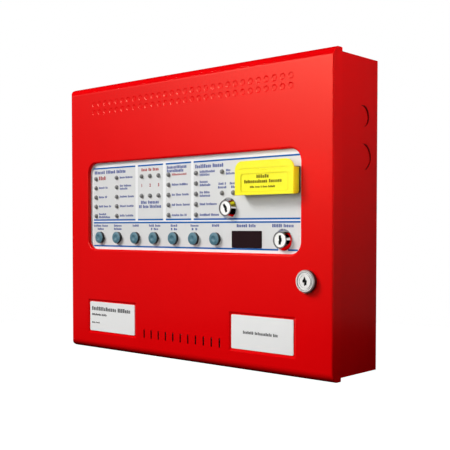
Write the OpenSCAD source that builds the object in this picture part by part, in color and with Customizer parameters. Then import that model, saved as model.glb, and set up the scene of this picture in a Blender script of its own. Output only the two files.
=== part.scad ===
// Extinguishant-release fire alarm control panel: steel back box, hinged door with a window,
// fixed control facia behind it, boards, power supply and batteries.
// Frame: origin at the centre of the wall face, +X right, +Y into the wall, +Z up. Millimetres.

/* [Enclosure] */
// Width across the door, if it overhung the lock side as far as the hinge side
door_w = 385; // [383:0.5:387]
// Height of the door
door_h = 312.8; // [309:0.1:313]
// Depth from the wall face to the front of the door
door_depth = 80; // [79.6:0.1:80.4]
// Thickness of the sheet steel
sheet = 1.2; // [1:0.1:1.4]
// Depth of the door's folded skirt
skirt = 14; // [12:0.1:14.2]
// How far the box stands in from the door at the hinge side
side_inset = 2.8; // [2.7:0.1:3.2]
// How far the box stands in from the door at the lock side
lock_inset = 1.4; // [1.4:0.1:3]
// How far the box stands in from the door at the top and bottom
end_inset = 3.6; // [2.4:0.1:4]
// Width of the return lip round the front of the box
lip = 12; // [8:0.5:12]

/* [Door] */
// Radius of the window's corners
window_r = 12; // [6:0.5:14]
// Diameter of each half-punched dimple
dimple_d = 6.6; // [4:0.1:7]
// Depth of each dimple
dimple_depth = 0.2; // [0.1:0.05:0.7]
// Number of columns of dimples
dimple_columns = 30; // [10:1:30]
// Number of vent slots
vent_count = 11; // [5:1:11]
// Opening angle at which the door is drawn
door_angle = 0; // [0:5:110]

/* [Fixings] */
// Spacing of the wall holes across the panel
wall_hole_dx = 320; // [300:1:330]
// Spacing of the wall holes up the panel
wall_hole_dz = 240; // [230:1:250]
// Diameter of each wall hole
wall_hole_d = 7; // [5:0.5:8]
// Diameter of each small cable knock-out
knockout_d = 20.5; // [16:0.5:25]
// Diameter of the large cable knock-out
big_knockout_d = 25.5; // [20:0.5:30]

/* [Facia] */
// Diameter of the push buttons
button_d = 13.2; // [12:0.1:13.4]
// How far the buttons stand proud of the facia
button_proud = 3.9; // [2:0.1:4.5]
// Diameter of the indicator lamps
led_d = 5; // [3:0.1:5]
// Tilt of the key slot in the mode switch
mode_key_tilt = -26; // [-30:1:30]

/* [Hidden] */
$fn = 48;
eps = 0.01;
over = 1;

// Places that follow from the enclosure's dimensions
front_y = -door_depth;
door_in_y = front_y + sheet;
skirt_y = front_y + skirt;
box_x = door_w / 2 - side_inset;
box_z = door_h / 2 - end_inset;
box_front_y = front_y + 4;
back_in_y = -sheet;
lip_x = box_x - lip;
lip_z = box_z - lip;
lock_x = box_x + lock_inset;

// The door's bends along its hinge side, its lock side and its ends, and its front corners
side_bend = 2.6;
lock_bend = 1.5;
end_bend = 9.2;
corner_r = 1.4;

// Cable knock-outs: [y, z, diameter] on the right side, x along the top, and how far in
side_entries = [[-27, 96.5, knockout_d], [-26, 57.3, big_knockout_d]];
top_entries = [-125 : 50 : 125];
knockout_in = 0.9;

// Door features: [x0, x1, z0, z1] of the window, then the label pockets
window = [-159.3, 153.3, -36.8, 64.5];
rim_r = 2.2;
rim_depth = 3.5;
label_left = [-158, -79.7];
label_right = [66.5, 145.5];
label_z = [-134.6, -99.9];
label_t = 0.8;
pocket_depth = 1.3;
pocket_slope = 2.6;
pocket_gap = 0.3;
dimple_x = 142;
dimple_pitch = 10.03;
dimple_rows = [134.2, 124.6];
dimple_wall = 1.1;
vent_x = -63.2;
vent_pitch = 11.38;
vent_z = [-136.2, -126];
vent_w = 2;

// Hinges on the left side
hinge = [-192.2, -63.2];
hinge_rows = [-105, 105];
knuckle_r = 2.4;
pin_r = 1.5;
run_gap = 0.05;
fit_gap = 0.1;
door_knuckle = 10;
box_knuckle = [10.3, 24];
leaf_t = 1;

// Door lock
lock = [162.1, -62];
lock_body_r = 9.2;
lock_bore_r = 6;
lock_head_y = front_y - 5;
cam_y = [-73.9, -71.9];
cam_reach = 24;
cam_w = 12;
cam_square = 7;

// Facia plate and overlay
facia_x = 174;
facia_z = [-46, 78];
facia_y = [-75.7, -74.2];
overlay_y = -76;
overlay_x = [-166.5, 160];
overlay_z = [-43, 75];
pillar_x = 170;
pillar_z = [-41, 72];
board_y = [-67.6, -66];
board_x = 160;
board_z = [-38, 70];
spacer_places = [[-154, 64], [154, 64], [-154, -32], [154, -32], [0, 64], [-2, -34]];

// Controls and indicators
button_z = -23;
button_xs = [for (i = [0 : 6]) -142 + i * 30.67];
led_rows = [46.6, 35.6, 24.5, 13.5, 2.4];
zone_xs = [-70.6, -57, -43.4];
release_leds = concat([for (z = led_rows) [13.9, z]], [[50.9, 46.5], [50.9, 24.5], [66.2, 24.5]]);
display = [64.2, 103.8, -32, -14.5];
mode_key = [59.6, 8.8];
access_key = [130.2, -23.3];
key_body_r = 9;
key_bore_r = 7;
key_head_y = overlay_y - 5.5;
key_tail_y = -50;
key_block_y = -38;

// Release cover
cover_x = [78.4, 151];
cover_z = [21, 46.7];
cover_top = 54.7;
cover_front_y = -88;
cover_back_y = -78.7;
cover_wall = 1.5;
cover_side = 2;
cover_corner_r = 9;
cover_hinge = [-82.7, 25];
cover_hinge_r = 4;
cover_pin_r = 1;
ear_xs = [84, 142];
ear_t = 3;
base_front_y = -78.5;
release = [114.7, 36.5];
release_head_r = 6.5;
release_stem_r = 3.5;
release_tail_y = -62;

// Boards, supply and batteries
main_y = [-12.8, -11.2];
main_x = 150;
main_z = [-72, 60];
standoff_places = [[-142, -64], [142, -64], [-142, 52], [142, 52], [0, 52], [0, -55]];
supply = [-140, -10, 82, 146];
supply_y = [-42, -4];
battery = [134, 67, 61];
battery_xs = [-140, 0];
battery_y = -70;
battery_z = -box_z + sheet;
ribbon_x = [-75, -45];
ribbon_low = 20;
ribbon_high = 50;
header_main_y = -21;
header_facia_y = -57;
lead_r = 1.3;

// ---- Drawing helpers -------------------------------------------------------------------

// A box between two opposite corners
module block(low, high) {
    translate(low) cube(high - low);
}

// Children drawn in (X, Z) and run from y0 to y1
module along_y(y0, y1) {
    translate([0, y1, 0]) rotate([90, 0, 0]) linear_extrude(height = y1 - y0) children();
}

// Children drawn in (Y, Z) and run from x0 to x1
module along_x(x0, x1) {
    translate([x0, 0, 0]) rotate([90, 0, 90]) linear_extrude(height = x1 - x0) children();
}

// Children drawn in (X, Y) and run from z0 to z1
module along_z(z0, z1) {
    translate([0, 0, z0]) linear_extrude(height = z1 - z0) children();
}

// A round bar along Y at the place p = [x, z]
module rod_y(p, r, y0, y1) {
    translate([p[0], y0, p[1]]) rotate([-90, 0, 0]) cylinder(r = r, h = y1 - y0);
}

// A cone along Y, radius r0 at y0 and r1 at y1
module cone_y(p, r0, r1, y0, y1) {
    translate([p[0], y0, p[1]]) rotate([-90, 0, 0]) cylinder(r1 = r0, r2 = r1, h = y1 - y0);
}

// A hexagon bar along Y
module hex_y(p, r, y0, y1) {
    translate([p[0], y0, p[1]]) rotate([-90, 0, 0]) cylinder(r = r, h = y1 - y0, $fn = 6);
}

// A rectangle [x0, x1] by [y0, y1] with round corners
module round_rect(x, y, r) {
    translate([x[0] + r, y[0]]) square([x[1] - x[0] - 2 * r, y[1] - y[0]]);
    translate([x[0], y[0] + r]) square([x[1] - x[0], y[1] - y[0] - 2 * r]);
    for (cx = [x[0] + r, x[1] - r], cy = [y[0] + r, y[1] - r])
        translate([cx, cy]) circle(r = r);
}

// A folded sheet's section: width 2 * half, from y0 to y1, round at the y0 corners
module folded(half, y0, y1, r) {
    translate([-half, y0 + r]) square([2 * half, y1 - y0 - r]);
    translate([-half + r, y0]) square([2 * half - 2 * r, y1 - y0]);
    for (side = [-1, 1])
        translate([side * (half - r), y0 + r]) circle(r = r);
}

// The same section with its width along the second axis
module folded_up(half, y0, y1, r) {
    mirror([1, -1]) folded(half, y0, y1, r);
}

// A pyramid-sided block: [x0, x1] by [z0, z1] at y1, wider by slope all round at y0
module sloped_block(x, z, slope, y0, y1) {
    intersection() {
        along_z(z[0] - slope, z[1] + slope)
            polygon([[x[0] - slope, y0], [x[1] + slope, y0], [x[1], y1], [x[0], y1]]);
        along_x(x[0] - slope, x[1] + slope)
            polygon([[y0, z[0] - slope], [y0, z[1] + slope], [y1, z[1]], [y1, z[0]]]);
    }
}

// A slot along Z with round ends
module slot_y(x, z, w, y0, y1) {
    along_y(y0, y1) round_rect([x - w / 2, x + w / 2], z, w / 2 - eps);
}

// A slot along X with round ends
module slot_x(x, z, w, y0, y1) {
    along_y(y0, y1) round_rect(x, [z - w / 2, z + w / 2], w / 2 - eps);
}

// ---- Swept leads -----------------------------------------------------------------------

function unit(v) = v / norm(v);
// The corners of a route, each rounded by a curve of the given reach
function softened(route, reach, steps) = concat([route[0]], [
    for (i = [1 : len(route) - 2])
        let (a = route[i] + reach * unit(route[i - 1] - route[i]))
        let (b = route[i] + reach * unit(route[i + 1] - route[i]))
        for (k = [0 : steps])
            let (t = k / steps)
            (1 - t) * (1 - t) * a + 2 * t * (1 - t) * route[i] + t * t * b
], [route[len(route) - 1]]);
function heading(path, i) =
    unit(path[min(i + 1, len(path) - 1)] - path[max(i - 1, 0)]);

// A round lead along a route, with the direction up never parallel to it
module lead(route, r, up, reach = 8, steps = 4, sides = 8) {
    path = softened(route, reach, steps);
    rings = [
        for (i = [0 : len(path) - 1])
            let (t = heading(path, i), u = unit(cross(t, up)), v = cross(t, u))
            for (k = [0 : sides - 1])
                path[i] + r * (cos(360 * k / sides) * u + sin(360 * k / sides) * v)
    ];
    last = (len(path) - 1) * sides;
    faces = concat([[for (k = [0 : sides - 1]) k]], [
        for (i = [0 : len(path) - 2], k = [0 : sides - 1])
            [i * sides + k, (i + 1) * sides + k,
             (i + 1) * sides + (k + 1) % sides, i * sides + (k + 1) % sides]
    ], [[for (k = [sides - 1 : -1 : 0]) last + k]]);
    polyhedron(points = rings, faces = faces, convexity = 4);
}

// ---- Back box --------------------------------------------------------------------------

// Discs for the knock-outs, smaller by trim, from low to high along the way out of the box
module knockouts(trim, low, high) {
    for (p = side_entries) translate([box_x + low, p[0], p[1]]) rotate([0, 90, 0])
        cylinder(r = p[2] / 2 - trim, h = high - low);
    for (x = top_entries) translate([x, -36, box_z + low])
        cylinder(r = knockout_d / 2 - trim, h = high - low);
}

module box_shell() {
    bend = 2;
    difference() {
        intersection() {
            along_z(-box_z, box_z) mirror([0, 1]) folded(box_x, 0, -box_front_y, bend);
            along_x(-box_x, box_x) mirror([1, 0]) folded_up(box_z, 0, -box_front_y, bend);
        }
        block([-box_x + sheet, box_front_y + sheet, -box_z + sheet],
              [box_x - sheet, back_in_y, box_z - sheet]);
        block([-lip_x, box_front_y - over, -lip_z], [lip_x, box_front_y + sheet + over, lip_z]);
    }
}

module back_box() {
    color("firebrick") difference() {
        union() {
            box_shell();
            knockouts(0.25, -sheet - knockout_in, -sheet + eps);
        }
        knockouts(0, -knockout_in, over);
        for (x = [-1, 1] * wall_hole_dx / 2, z = [-1, 1] * wall_hole_dz / 2)
            rod_y([x, z], wall_hole_d / 2, back_in_y - over, over);
    }
}

// ---- Hinges ----------------------------------------------------------------------------

module hinge_box_leaves() {
    color("silver") for (row = hinge_rows) difference() {
        union() {
            for (side = [-1, 1])
                translate([hinge[0], hinge[1], row + side * (box_knuckle[0] + box_knuckle[1]) / 2])
                    cylinder(r = knuckle_r, h = box_knuckle[1] - box_knuckle[0], center = true);
            for (z = [[-box_knuckle[1], -box_knuckle[0]], [box_knuckle[0], box_knuckle[1]]])
                block([-box_x - 0.8, hinge[1], row + z[0]], [-box_x, -60, row + z[1]]);
            block([-box_x - 0.8, -60.2, row - box_knuckle[1]],
                  [-box_x, -46, row + box_knuckle[1]]);
        }
        translate([hinge[0], hinge[1], row]) cylinder(r = pin_r, h = 60, center = true);
    }
}

module hinge_door_leaves() {
    leaf_x = -door_w / 2 + sheet;
    color("silver") for (row = hinge_rows) difference() {
        union() {
            translate([hinge[0], hinge[1], row])
                cylinder(r = knuckle_r, h = 2 * door_knuckle, center = true);
            block([leaf_x, front_y + 4, row - door_knuckle],
                  [leaf_x + leaf_t, hinge[1], row + door_knuckle]);
        }
        translate([hinge[0], hinge[1], row]) cylinder(r = pin_r + run_gap, h = 60, center = true);
    }
}

module hinge_pins() {
    head_t = 1.2;
    color("gainsboro") for (row = hinge_rows) translate([hinge[0], hinge[1], row]) {
        translate([0, 0, -box_knuckle[1] - 1]) cylinder(r = pin_r, h = 2 * box_knuckle[1] + 1 + eps);
        translate([0, 0, box_knuckle[1]]) cylinder(r = knuckle_r, h = head_t);
    }
}

// ---- Door ------------------------------------------------------------------------------

// The door's folded shape, or the space inside it when inset by the sheet
module door_form(inset, y1) {
    half_w = door_w / 2 - inset;
    half_h = door_h / 2 - inset;
    right = lock_x - inset;
    y0 = front_y + inset;
    intersection() {
        along_y(y0, y1) round_rect([-half_w, right], [-half_h, half_h], corner_r - inset);
        along_z(-half_h, half_h) folded(half_w, y0, y1, side_bend - inset);
        along_z(-half_h, half_h) translate([right - door_w, 0])
            folded(door_w, y0, y1, lock_bend - inset);
        along_x(-half_w, right) folded_up(half_h, y0, y1, end_bend - inset);
    }
}

module door_dimples() {
    for (i = [0 : dimple_columns - 1], z = dimple_rows)
        cone_y([dimple_x - i * dimple_pitch, z], dimple_d / 2, dimple_d / 2 - dimple_wall,
               front_y - eps, front_y + dimple_depth);
}

// The window's rolled rim in section: (out from the opening, back from the door's front)
module rim_section() {
    intersection() {
        translate([rim_r, rim_r]) difference() {
            circle(r = rim_r);
            circle(r = rim_r - sheet);
        }
        square(rim_r);
    }
    translate([0, rim_r]) square([sheet, rim_depth - rim_r]);
}

// The rim all round the window: four straight runs and four corners
module window_rim() {
    mid_x = (window[0] + window[1]) / 2;
    mid_z = (window[2] + window[3]) / 2;
    half_x = (window[1] - window[0]) / 2;
    half_z = (window[3] - window[2]) / 2;
    translate([mid_x, front_y, mid_z]) {
        for (side = [0, 1]) {
            mirror([side, 0, 0]) along_z(window_r - half_z, half_z - window_r)
                translate([half_x, 0]) rim_section();
            mirror([0, 0, side]) along_x(window_r - half_x, half_x - window_r)
                translate([0, half_z]) mirror([1, -1]) rim_section();
        }
        for (flip_x = [0, 1], flip_z = [0, 1])
            mirror([flip_x, 0, 0]) mirror([0, 0, flip_z])
                translate([half_x - window_r, 0, window_r - half_z]) rotate([-90, 0, 0])
                    rotate_extrude(angle = 90) translate([window_r, 0]) rim_section();
    }
}

module label_pockets(inset, y0, y1) {
    for (x = [label_left, label_right])
        sloped_block([x[0] - pocket_gap - inset, x[1] + pocket_gap + inset],
                     [label_z[0] - pocket_gap - inset, label_z[1] + pocket_gap + inset],
                     pocket_slope, y0, y1);
}

module door_panel() {
    color("red") difference() {
        union() {
            difference() {
                door_form(0, skirt_y);
                door_form(sheet, skirt_y + over);
                along_y(front_y - over, door_in_y + over)
                    round_rect([window[0] - rim_r, window[1] + rim_r],
                               [window[2] - rim_r, window[3] + rim_r], window_r + rim_r);
            }
            window_rim();
            label_pockets(0.8, door_in_y - 0.2, door_in_y + pocket_depth);
        }
        label_pockets(0, front_y - eps, front_y + pocket_depth);
        for (i = [0 : vent_count - 1])
            slot_y(vent_x + i * vent_pitch, vent_z, vent_w, front_y - over, door_in_y + over);
        door_dimples();
        rod_y(lock, lock_body_r + fit_gap, front_y - over, door_in_y + over);
    }
}

module label_plate(x) {
    floor_y = front_y + pocket_depth;
    color("gainsboro") along_y(floor_y - label_t, floor_y) round_rect(x, label_z, 1.5);
}

// ---- Door lock -------------------------------------------------------------------------

module lock_housing() {
    rim_y = lock_head_y + 1.2;
    color("gainsboro") difference() {
        union() {
            cone_y(lock, 9.7, 10.9, lock_head_y, rim_y);
            rod_y(lock, 10.9, rim_y, front_y);
            rod_y(lock, lock_body_r, front_y, -74.4);
        }
        rod_y(lock, lock_bore_r, lock_head_y - over, -74.4 + over);
        difference() {
            rod_y(lock, 8.2, lock_head_y - over, lock_head_y + 0.6);
            rod_y(lock, 7.2, lock_head_y - 2 * over, lock_head_y + over);
        }
    }
}

module lock_nut() {
    color("silver") difference() {
        hex_y(lock, 13, door_in_y, -76);
        rod_y(lock, lock_body_r + fit_gap, door_in_y - over, -76 + over);
    }
}

module lock_barrel() {
    color("silver") difference() {
        union() {
            rod_y(lock, lock_bore_r - run_gap, lock_head_y + 0.4, -74.2);
            block([lock[0] - cam_square / 2, -74.2, lock[1] - cam_square / 2],
                  [lock[0] + cam_square / 2, cam_y[1], lock[1] + cam_square / 2]);
        }
        block([lock[0] - 0.8, lock_head_y, lock[1] - 3.6],
              [lock[0] + 0.8, lock_head_y + 4, lock[1] + 2.4]);
        block([lock[0] - 1.8, lock_head_y, lock[1] - 0.4],
              [lock[0] + 0.8, lock_head_y + 4, lock[1] + 1.2]);
    }
}

module lock_cam() {
    tip_z = lock[1] - cam_reach + cam_w / 2;
    color("silver") along_y(cam_y[0], cam_y[1]) difference() {
        union() {
            translate(lock) circle(r = 8);
            translate([lock[0] - cam_w / 2, tip_z]) square([cam_w, lock[1] - tip_z]);
            translate([lock[0], tip_z]) circle(r = cam_w / 2);
        }
        translate(lock) square(cam_square, center = true);
    }
}

module lock_cam_bolt() {
    color("gray") {
        rod_y(lock, 7, cam_y[1], cam_y[1] + 0.8);
        hex_y(lock, 5.8, cam_y[1] + 0.8, cam_y[1] + 3.8);
    }
}

// ---- Facia -----------------------------------------------------------------------------

// Every indicator's place, group by group
function grid(xs) = [for (x = xs, z = led_rows) [x, z]];
general_leds = grid([-149.9, -113.1]);
zone_leds = [for (x = zone_xs, z = [46.5, 24.5]) [x, z]];
output_leds = grid([-27.5]);
all_leds = concat(general_leds, zone_leds, output_leds, release_leds);

// The holes that the controls pass through, from y0 to y1
module control_holes(y0, y1) {
    for (p = all_leds) rod_y(p, led_d / 2 + fit_gap, y0, y1);
    for (x = button_xs) rod_y([x, button_z], button_d / 2 + 0.2, y0, y1);
    for (p = [mode_key, access_key]) rod_y(p, key_body_r + fit_gap, y0, y1);
    rod_y(release, release_stem_r + 0.3, y0, y1);
    along_y(y0, y1) round_rect([display[0], display[1]], [display[2], display[3]], 1);
}

module facia_plate() {
    color("whitesmoke") difference() {
        block([-facia_x, facia_y[0], facia_z[0]], [facia_x, facia_y[1], facia_z[1]]);
        control_holes(facia_y[0] - over, facia_y[1] + over);
    }
}

module facia_overlay() {
    color("white") difference() {
        along_y(overlay_y, facia_y[0]) round_rect(overlay_x, overlay_z, 3);
        control_holes(overlay_y - over, facia_y[0] + over);
    }
}

module facia_pillars() {
    color("silver") for (x = [-pillar_x, pillar_x], z = pillar_z)
        hex_y([x, z], 3.2, facia_y[1], back_in_y);
}

module facia_screws() {
    color("silver") for (x = [-pillar_x, pillar_x], z = pillar_z) difference() {
        cone_y([x, z], 2, 2.75, facia_y[0] - 1.8, facia_y[0]);
        for (w = [[0.4, 1.6], [1.6, 0.4]])
            block([x - w[0], facia_y[0] - 2, z - w[1]], [x + w[0], facia_y[0] - 0.8, z + w[1]]);
    }
}

module display_window() {
    color([0.15, 0.09, 0.1]) along_y(overlay_y - 0.3, facia_y[1])
        round_rect([display[0], display[1]], [display[2], display[3]], 1);
}

module display_module() {
    color("darkslategray") block([display[0] + 2, facia_y[1], display[2] + 1.5],
                                 [display[1] - 2, board_y[0], display[3] - 1.5]);
}

module facia_board() {
    color("darkgreen") difference() {
        block([-board_x, board_y[0], board_z[0]], [board_x, board_y[1], board_z[1]]);
        for (p = [mode_key, access_key])
            rod_y(p, key_body_r + 1, board_y[0] - over, board_y[1] + over);
        rod_y(release, release_stem_r + 1, board_y[0] - over, board_y[1] + over);
    }
}

module facia_board_spacers() {
    color("silver") for (p = spacer_places) {
        rod_y(p, 2.8, facia_y[1], board_y[0]);
        cone_y(p, 2.8, 2.2, board_y[1], board_y[1] + 1.8);
    }
}

// A domed lamp with a base flange and two legs that stand on the board
module led(p) {
    r = led_d / 2;
    base_y = board_y[0] - 2;
    dome_y = overlay_y - 0.1;
    union() {
        rod_y(p, r, dome_y, base_y);
        translate([p[0], dome_y, p[1]]) sphere(r = r);
        rod_y(p, r + 0.4, base_y - 1, base_y);
        for (side = [-1, 1])
            block([p[0] + side * 1.27 - 0.25, base_y, p[1] - 0.25],
                  [p[0] + side * 1.27 + 0.25, board_y[0], p[1] + 0.25]);
    }
}

module led_group(places) {
    color("gray") for (p = places) led(p);
}

module tact_switches() {
    switch_y = board_y[0] - 2.4;
    color("dimgray") for (x = button_xs) union() {
        block([x - 3, switch_y, button_z - 3], [x + 3, board_y[0], button_z + 3]);
        rod_y([x, button_z], 1.7, switch_y - 0.4, switch_y + eps);
    }
}

// A domed push button with a hidden flange behind the plate and a stem to its switch
module push_button(x) {
    p = [x, button_z];
    r = button_d / 2;
    top_y = overlay_y - button_proud;
    dome_r = 32;
    dish_r = 10;
    flange_y = facia_y[1] + 0.2;
    color([0.34, 0.5, 0.56]) difference() {
        union() {
            intersection() {
                rod_y(p, r, top_y - over, flange_y);
                translate([x, top_y + dome_r, button_z]) sphere(r = dome_r);
            }
            rod_y(p, r + 1, flange_y, flange_y + 1);
            rod_y(p, 2, flange_y + 1, board_y[0] - 4.6);
        }
        translate([x, top_y - dish_r + 0.8, button_z]) sphere(r = dish_r);
    }
}

// ---- Key switches ----------------------------------------------------------------------

module key_housings() {
    color("gainsboro") for (p = [mode_key, access_key]) difference() {
        union() {
            cone_y(p, 8.3, 11, key_head_y, overlay_y - 0.8);
            rod_y(p, 11, overlay_y - 0.8, overlay_y);
            rod_y(p, key_body_r, overlay_y, key_tail_y);
        }
        rod_y(p, key_bore_r, key_head_y - over, key_tail_y + over);
    }
}

module key_nuts() {
    color("silver") for (p = [mode_key, access_key]) difference() {
        hex_y(p, 12, facia_y[1], facia_y[1] + 3);
        rod_y(p, key_body_r + fit_gap, facia_y[1] - over, facia_y[1] + 3 + over);
    }
}

module key_contacts() {
    half = 10;
    color("dimgray") for (p = [mode_key, access_key]) difference() {
        block([p[0] - half, key_tail_y, p[1] - half], [p[0] + half, key_block_y, p[1] + half]);
        rod_y(p, 4.1, key_tail_y - over, key_block_y - 4);
    }
}

module key_rotor(p, tilt) {
    face_y = key_head_y + 0.5;
    color("silver") translate([p[0], 0, p[1]]) rotate([0, tilt, 0]) difference() {
        union() {
            rod_y([0, 0], key_bore_r - run_gap, face_y, key_tail_y);
            rod_y([0, 0], 4, key_tail_y, key_block_y - 5);
        }
        block([-1.2, face_y - over, -4.4], [1.2, face_y + 7, 4.4]);
    }
}

// ---- Release control -------------------------------------------------------------------

module release_base() {
    color([0.1, 0.1, 0.1]) difference() {
        union() {
            along_y(base_front_y, overlay_y)
                round_rect([cover_x[0] + 1.5, cover_x[1]], [cover_z[0] + 1, cover_z[1] + 1], 1);
            for (x = ear_xs) along_x(x, x + ear_t) {
                translate(cover_hinge) circle(r = 2.2);
                translate([cover_hinge[0], cover_hinge[1] - 2])
                    square([overlay_y - cover_hinge[0], 4]);
            }
        }
        rod_y(release, release_head_r + 0.5, base_front_y - over, overlay_y + over);
        along_x(ear_xs[0] - over, ear_xs[1] + ear_t + over)
            translate(cover_hinge) circle(r = cover_pin_r);
    }
}

module release_hinge_pin() {
    color("silver") along_x(cover_x[0] + 0.8, cover_x[1] - 0.8)
        translate(cover_hinge) circle(r = cover_pin_r);
}

// The cover's side view, in (Y, Z): round where it turns about its hinge
module cover_side_form(inset) {
    y0 = cover_front_y + inset;
    r = cover_hinge_r - inset;
    translate([y0, cover_hinge[1]])
        square([cover_back_y - y0 + (inset > 0 ? over : 0), cover_z[1] - inset - cover_hinge[1]]);
    translate([y0, cover_z[0] + inset])
        square([cover_hinge[0] - y0, cover_hinge[1] - cover_z[0] - inset + eps]);
    translate(cover_hinge) circle(r = r);
}

module release_cover() {
    face_y = cover_front_y + cover_wall;
    color("gold") difference() {
        union() {
            along_y(cover_front_y, face_y + 0.5) difference() {
                round_rect(cover_x, [cover_z[1] - 20, cover_top], cover_corner_r);
                translate([cover_x[0], 0]) square([cover_x[1] - cover_x[0], cover_z[1] - 8]);
            }
            along_x(cover_x[0], cover_x[1]) cover_side_form(0);
        }
        difference() {
            along_x(cover_x[0] + cover_side, cover_x[1] - cover_side) cover_side_form(cover_wall);
            block([cover_x[0], cover_hinge[0], cover_z[0]],
                  [cover_x[1], cover_back_y + 2 * over, cover_hinge[1] + 1]);
        }
        along_x(cover_x[0] + cover_side, cover_x[1] - cover_side)
            translate(cover_hinge) circle(r = cover_hinge_r - cover_wall);
        for (x = ear_xs)
            block([x - 0.5, face_y, cover_z[0] - over],
                  [x + ear_t + 0.5, cover_back_y + over, cover_hinge[1] + 1 + over]);
        along_x(cover_x[0] + 0.6, cover_x[1] - 0.6)
            translate(cover_hinge) circle(r = cover_pin_r + run_gap);
        along_y(cover_front_y - over, cover_front_y + 0.5)
            round_rect([86, 145.3], [23.7, 42], 3);
        block([84, cover_front_y - over, 46.6], [145, cover_front_y + 0.4, 47.4]);
        slot_x([109, 121], 46, 2.4, cover_front_y - over, cover_front_y + 0.4);
    }
}

module release_button() {
    color("firebrick") union() {
        rod_y(release, release_head_r, -83.7, -80.2);
        cone_y(release, release_head_r - 0.8, release_head_r, -84.5, -83.7);
        rod_y(release, release_stem_r, -80.2, release_tail_y);
    }
}

module release_contact_block() {
    color("dimgray") difference() {
        block([release[0] - 11, board_y[1], release[1] - 10],
              [release[0] + 11, -52, release[1] + 10]);
        rod_y(release, release_stem_r + 0.3, board_y[1] - over, -56);
    }
}

// ---- Main board ------------------------------------------------------------------------

module main_board() {
    color("darkgreen") block([-main_x, main_y[0], main_z[0]], [main_x, main_y[1], main_z[1]]);
}

module main_board_standoffs() {
    color("silver") for (p = standoff_places) {
        hex_y(p, 3.2, main_y[1], back_in_y);
        cone_y(p, 2.2, 3, main_y[0] - 1.8, main_y[0]);
    }
}

// Rows of screw terminals along the lower edge, eight ways to a block
module terminal_blocks() {
    ways = 8;
    pitch = 5;
    length = ways * pitch;
    color("seagreen") for (b = [-3 : 2]) translate([b * (length + 0.5), 0, 0]) difference() {
        block([0, main_y[0] - 12, main_z[0] + 1], [length, main_y[0], main_z[0] + 11]);
        for (i = [0 : ways - 1]) {
            rod_y([(i + 0.5) * pitch, main_z[0] + 7], 1.8, main_y[0] - 13, main_y[0] - 10);
            block([(i + 0.5) * pitch - 1.6, main_y[0] - 8, main_z[0]],
                  [(i + 0.5) * pitch + 1.6, main_y[0] - 4, main_z[0] + 4]);
        }
    }
}

module relays() {
    color("royalblue") for (x = [-110 : 25 : -10]) difference() {
        block([x - 9.5, main_y[0] - 15.6, -50], [x + 9.5, main_y[0], -34.5]);
        block([x - 7, main_y[0] - 16, -48], [x + 7, main_y[0] - 15.3, -36.5]);
    }
}

module circuit_chips() {
    color([0.12, 0.12, 0.13]) {
        for (chip = [[0, 10, 14, 14], [-40, 34, 10, 8], [50, 36, 10, 8], [90, 0, 12, 10],
                     [30, -10, 8, 6], [-30, -10, 8, 6]])
            difference() {
                block([chip[0] - chip[2] / 2, main_y[0] - 1.5, chip[1] - chip[3] / 2],
                      [chip[0] + chip[2] / 2, main_y[0], chip[1] + chip[3] / 2]);
                rod_y([chip[0] - chip[2] / 2 + 1.6, chip[1] + chip[3] / 2 - 1.6], 0.6,
                      main_y[0] - 2, main_y[0] - 1.3);
            }
    }
}

module fuses() {
    axis_y = main_y[0] - 6;
    color("lightgray") for (x = [25 : 27 : 106]) translate([x, axis_y, -42]) {
        rotate([0, 90, 0]) cylinder(r = 2.6, h = 20, center = true);
        for (side = [-1, 1]) difference() {
            translate([side * 7.5, 2.4, 0]) cube([4, 7.2, 8], center = true);
            rotate([0, 90, 0]) cylinder(r = 2.6, h = 30, center = true);
        }
    }
}

module capacitors() {
    color("navy") for (c = [[-120, 0, 8, 25], [-120, 25, 8, 25], [-95, 5, 5, 16],
                            [110, 36, 6.3, 20], [128, 36, 6.3, 20], [-95, 25, 5, 16]]) {
        p = [c[0], c[1]];
        top_y = main_y[0] - c[3];
        difference() {
            union() {
                cone_y(p, c[2] - 0.6, c[2], top_y, top_y + 0.6);
                rod_y(p, c[2], top_y + 0.6, main_y[0]);
            }
            block([c[0] - c[2] * 0.6, top_y - over, c[1] - 0.2],
                  [c[0] + c[2] * 0.6, top_y + 0.4, c[1] + 0.2]);
        }
    }
}

module board_headers() {
    color([0.15, 0.15, 0.16]) {
        block([ribbon_x[0] - 3, header_main_y, ribbon_low - 4],
              [ribbon_x[1] + 3, main_y[0], ribbon_low + 4]);
        block([ribbon_x[0] - 3, board_y[1], ribbon_high - 4],
              [ribbon_x[1] + 3, header_facia_y, ribbon_high + 4]);
    }
}

// A quarter ring of the ribbon, drawn in (Y, Z) about its own centre
module ribbon_bend(r, t) {
    intersection() {
        difference() {
            circle(r = r + t / 2);
            circle(r = r - t / 2);
        }
        square(r + t);
    }
}

// The ribbon leaves one header, climbs halfway across and enters the other
module ribbon_cable() {
    r = 6;
    t = 0.9;
    mid_y = (header_main_y + header_facia_y) / 2;
    color("lightgray") along_x(ribbon_x[0], ribbon_x[1]) union() {
        translate([mid_y + r, ribbon_low - t / 2]) square([header_main_y - mid_y - r, t]);
        translate([mid_y + r, ribbon_low + r]) rotate(180) ribbon_bend(r, t);
        translate([mid_y - t / 2, ribbon_low + r]) square([t, ribbon_high - ribbon_low - 2 * r]);
        translate([mid_y - r, ribbon_high - r]) ribbon_bend(r, t);
        translate([header_facia_y, ribbon_high - t / 2]) square([mid_y - r - header_facia_y, t]);
    }
}

module sounder() {
    color([0.1, 0.1, 0.1]) difference() {
        rod_y([120, -10], 7, main_y[0] - 9, main_y[0]);
        rod_y([120, -10], 1.2, main_y[0] - 10, main_y[0] - 7);
    }
}

// ---- Power supply and batteries --------------------------------------------------------

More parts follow.
